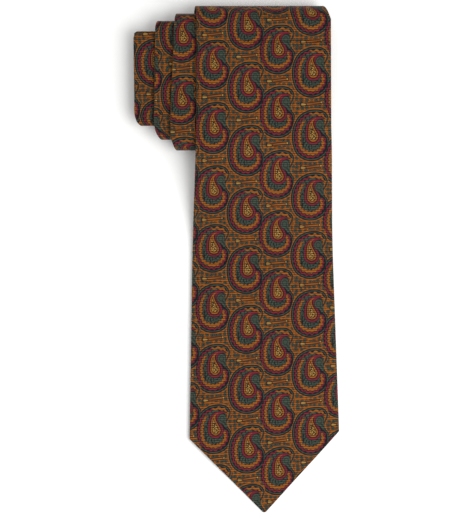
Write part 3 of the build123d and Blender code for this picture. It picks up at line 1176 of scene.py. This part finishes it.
@dataclass
class Tippings(Strips):
    """Satin facings that fill the open backs of the two points. The narrow one is placed from its own tip."""

    slot: Slot = Slot.SATIN
    thickness: float = 0.12
    depth: float = 0.34
    wide: Pair = (6.3, 111.5)
    narrow: Pair = (65.5, 5.3)

    def half(self, s: float) -> float:
        """Half the facing's width at a length."""
        return (looked_up(self.lay.openings, s) - self.lay.seam) / 2

    def build(self) -> None:
        """The wide facing and the narrow one."""
        start, end = (self.lay.length - back for back in self.narrow)
        self.sheet("wide_tipping", self.wide, Body.TIP, "wide_interlining_tip")
        self.sheet("narrow_tipping", (start, end), Body.BLADE, "narrow_interlining_tail")


@dataclass
class Label(Strips):
    """A blank woven label, sewn to the blade's back at both ends."""

    slot: Slot = Slot.RIBBON
    thickness: float = 0.20
    span: Pair = (128.0, 143.0)
    width: float = 44.0

    def half(self, s: float) -> float:
        """Half the label's width."""
        return self.width / 2

    def build(self) -> None:
        """The label, at the back of the blade's tip."""
        self.depth = (self.lay.thickness + self.thickness) / 2
        self.sheet("woven_label", self.span, Crossing.TIP_LIFT, "wide_shell_tip")


@dataclass
class Keeper:
    """The loop of shell cloth across the blade's back that holds the narrow end."""

    lay: Lay
    maker: Maker
    span: Pair = (168.5, 181.5)
    width: float = 52.0
    strip: float = 0.60
    clearance: float = 0.03
    tucked: float = 2.2
    edge_radius: float = 0.16
    tuck_columns: int = 3
    bend_columns: int = 10
    back_columns: int = 24
    rows: int = 8

    def path(self) -> list[Triple]:
        """The strip's way round: place across, depth to the back, and length along the strip."""
        lay = self.lay
        low = lay.thickness / 2 + self.strip / 2 + self.clearance
        high = lay.thickness * 1.5 + lay.tail_gap + lay.ply_gap + self.strip / 2
        bend = (high - low) / 2
        side = self.width / 2 - self.strip / 2 - bend
        right = [(side - self.tucked * (1 - i / self.tuck_columns), low) for i in range(self.tuck_columns)]
        for i in range(self.bend_columns + 1):
            angle = pi * i / self.bend_columns
            right.append((side + bend * sin(angle), (low + high) / 2 - bend * cos(angle)))
        middle = [(side * (1 - 2 * i / self.back_columns), high) for i in range(1, self.back_columns)]
        points = right + middle + [(-u, v) for u, v in reversed(right)]
        walked, found = 0.0, []
        for before, after in zip([points[0], *points], points):
            walked += hypot(after[0] - before[0], after[1] - before[1])
            found.append((*after, walked))
        return found

    def build(self) -> None:
        """The loop, with both ends folded under against the blade."""
        path = self.path()
        stations = [self.lay.at(between(*self.span, i / self.rows)) for i in range(self.rows + 1)]
        rows = [[self.lay.placed(station, u, v) for u, v, _ in path] for station in stations]
        cloth = [[(walked, station.s) for _, _, walked in path] for station in stations]
        bm = grid_sheet(rows, cloth, [[0.0] * len(path)] * len(rows))
        bmesh.ops.reverse_faces(bm, faces=bm.faces[:])
        piece = self.maker.piece("keeper_loop", bm, Slot.SILK)
        thicken(piece, self.strip)
        soften(piece, self.edge_radius)
        self.maker.join(piece, Body.BLADE, "keeper_loop")
        flat_size = (path[-1][2] * MM, (self.span[1] - self.span[0]) * MM)


@dataclass
class Sewing:
    """Every stitch that can be seen when the tie is opened out."""

    lay: Lay
    maker: Maker
    slip_thread: float = 0.20
    slip_pitch: float = 6.0
    slip_swing: float = 0.42
    slip_sunk: float = 0.06
    slip_part: Pair = (0.15, 0.85)
    slip_start: float = 113.0
    slip_back: float = 67.0
    tack_thread: float = 0.24
    tack_overlap: float = 0.9
    tack_length: float = 1.0
    tack_bars: int = 5
    tack_sunk: float = 0.02
    wrap_pitch: float = 0.32
    wrap_reach: float = 0.62
    wrap_inset: float = 0.4
    wrap_slant: float = 0.1
    wrap_rise: float = 0.06
    wide_tack: float = 106.0
    narrow_tack_back: float = 61.0
    row_thread: float = 0.26
    row_pitch: float = 1.7
    row_inset: float = 1.2
    row_slant: float = 0.55
    row_ends: float = 1.6
    row_rise: float = 0.12
    row_in: float = 0.45
    row_out: float = 0.55

    def stitches(self, name: str, spots: Sequence[tuple[Vector, Vector]], thickness: float, to: Follows) -> None:
        """Short lengths of thread, thicker in the middle, as one piece.

        Args:
            name: the piece's name.
            spots: the two ends of each stitch, in metres.
            thickness: the thread's thickness, in millimetres.
            to: the body the stitches move with, or the joint they cross.
        """
        bm = bmesh.new()
        for start, end in spots:
            along = end - start
            turn = along.to_track_quat("Z", "Y").to_matrix().to_4x4()
            size = Matrix.Diagonal((thickness * MM / 2, thickness * MM / 2, along.length / 2, 1.0))
            place = Matrix.Translation((start + end) / 2) @ turn @ size
            bmesh.ops.create_uvsphere(bm, u_segments=7, v_segments=6, radius=1.0, matrix=place)
        self.maker.join(self.maker.piece(name, bm, Slot.THREAD), to, name)

    def slip_stitch(self, name: str, start: float, end: float, to: Follows) -> None:
        """Slanted stitches down the seam of the back, their lower half sunk between the flaps."""
        depth = self.lay.thickness / 2 - self.slip_sunk
        spots = []
        for i in range(max(1, int((end - start) / self.slip_pitch))):
            first, second = (start + self.slip_pitch * (i + share) for share in self.slip_part)
            side = self.slip_swing if i % 2 else -self.slip_swing
            spots.append((self.lay.spot(first, side, depth), self.lay.spot(second, -side, depth)))
        self.stitches(name, spots, self.slip_thread, to)

    def bar_tack(self, name: str, at: float, body: Body) -> None:
        """A worked bar across the seam where the flaps meet."""
        spot, depth = self.lay.spot, self.lay.thickness / 2 - self.tack_sunk
        half = looked_up(self.lay.openings, at) / 2 + self.tack_overlap
        spots = []
        for i in range(self.tack_bars):
            s = at + self.tack_length * (i / (self.tack_bars - 1) - 0.5)
            spots.append((spot(s, -half, depth), spot(s, half, depth)))
        wraps = int(2 * half / self.wrap_pitch)
        for i in range(wraps):
            u = between(-half + self.wrap_inset, half - self.wrap_inset, i / (wraps - 1))
            reaches = (-self.wrap_reach, self.wrap_reach)
            spots.append(tuple(spot(at + r, u + r * self.wrap_slant, depth + self.wrap_rise) for r in reaches))
        self.stitches(name, spots, self.tack_thread, body)

    def end_rows(self, name: str, width: float, span: Pair, to: Follows) -> None:
        """Rows of small stitches along both ends of the keeper or the label."""
        half, depth = width / 2, self.lay.thickness / 2 + self.row_rise
        spots = []
        for side in (-1, 1):
            for i in range(int((span[1] - span[0] - self.row_ends) / self.row_pitch)):
                s = span[0] + self.row_inset + self.row_pitch * i
                inner = self.lay.spot(s, side * (half - self.row_in), depth)
                outer = self.lay.spot(s + self.row_slant, side * (half + self.row_out), depth)
                spots.append((inner, outer))
        self.stitches(name, spots, self.row_thread, to)

    def build(self) -> None:
        """All the sewing."""
        lay = self.lay
        cuts = (self.slip_start, lay.tip_hinge, lay.blade_hinge, lay.narrow_hinge, lay.length - self.slip_back)
        follows = (Crossing.TIP_LIFT, Crossing.BLADE_LIFT, Body.ROLL, Crossing.BLADE_LIFT)
        for part, start, end, to in zip(("tip", "mid", "roll", "tail"), cuts, cuts[1:], follows):
            self.slip_stitch(f"slip_stitch_{part}", start, end, to)
        self.bar_tack("wide_bar_tack", self.wide_tack, Body.TIP)
        self.bar_tack("narrow_bar_tack", lay.length - self.narrow_tack_back, Body.BLADE)
        self.end_rows("keeper_stitches", Keeper.width, Keeper.span, Body.BLADE)
        self.end_rows("label_stitches", Label.width, Label.span, Crossing.TIP_LIFT)
        seams = self.maker.frame["nodes"]["panel_seam_threads"]
        seams.data.materials.clear()
        seams.data.materials.append(self.maker.materials[Slot.THREAD])


# --- Studio ---


@dataclass(frozen=True)
class SoftBox:
    """A square lamp that looks at the tie: its place and size in metres, and its power in watts."""

    name: str
    place: Triple
    size: float
    power: float

    def build(self) -> None:
        """The lamp, in the scene."""
        light = bpy.data.lights.new(self.name, "AREA")
        light.size = self.size
        light.energy = self.power
        lamp = bpy.data.objects.new(self.name, light)
        lamp.location = self.place
        lamp.rotation_euler = (-Vector(self.place)).to_track_quat("-Z", "Y").to_euler()
        bpy.context.scene.collection.objects.link(lamp)


@dataclass
class Studio:
    """Floor, lights and the camera straight above, in metres."""

    camera_height: float = 1.2
    middle: Pair = (-0.00502, -0.00095)
    seen_width: float = 0.2704
    floor_size: float = 3.0
    floor_drop: float = 0.0003
    sky: float = 0.74
    lamps: tuple[SoftBox, ...] = (
        SoftBox("key_light", (0.36, -0.16, 0.52), 0.60, 4.3), SoftBox("fill_light", (-0.9, 0.1, 1.3), 0.8, 0.2),
    )

    def build(self) -> None:
        """Everything round the tie."""
        self.floor()
        world = bpy.data.worlds.new("studio")
        world.use_nodes = True
        background = world.node_tree.nodes["Background"].inputs
        background["Color"].default_value = (1.0, 1.0, 1.0, 1.0)
        background["Strength"].default_value = self.sky
        bpy.context.scene.world = world
        for lamp in self.lamps:
            lamp.build()
        self.camera()
        bpy.context.scene.view_settings.view_transform = "Standard"

    def floor(self) -> None:
        """A level sheet just below the tie's underside, so that the two don't lie in one plane."""
        bm = bmesh.new()
        bmesh.ops.create_grid(bm, x_segments=8, y_segments=8, size=self.floor_size)
        bmesh.ops.translate(bm, verts=bm.verts[:], vec=(0.0, 0.0, -self.floor_drop))
        mesh = bpy.data.meshes.new("floor")
        bm.to_mesh(mesh)
        bm.free()
        mesh.materials.append(StudioFloor().material())
        floor = bpy.data.objects.new("floor", mesh)
        bpy.context.scene.collection.objects.link(floor)

    def camera(self) -> None:
        """A long lens that looks straight down."""
        camera = bpy.data.cameras.new("camera")
        camera.sensor_fit = "HORIZONTAL"
        camera.lens = camera.sensor_width * self.camera_height / self.seen_width
        view = bpy.data.objects.new("camera", camera)
        view.location = (*self.middle, self.camera_height)
        bpy.context.scene.collection.objects.link(view)
        bpy.context.scene.camera = view


def main() -> None:
    """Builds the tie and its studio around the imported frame."""
    logging.basicConfig(level=logging.INFO, format="%(message)s")
    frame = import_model()
    Studio().build()
    maker = Maker(frame, slot_materials())
    blade_y, tip_y = (maker.hinge(name).y / MM for name in ("blade_lift", "tip_lift"))
    lay = Lay(blade_hinge_y=blade_y, tip_hinge_y=tip_y)
    LOG.info("length %.1f, hinges %.1f %.1f %.1f", lay.length, lay.tip_hinge, lay.blade_hinge, lay.narrow_hinge)
    for part in (Interlining, Shell, Tippings, Label, Keeper, Sewing):
        part(lay, maker).build()


if __name__ == "__main__":
    main()
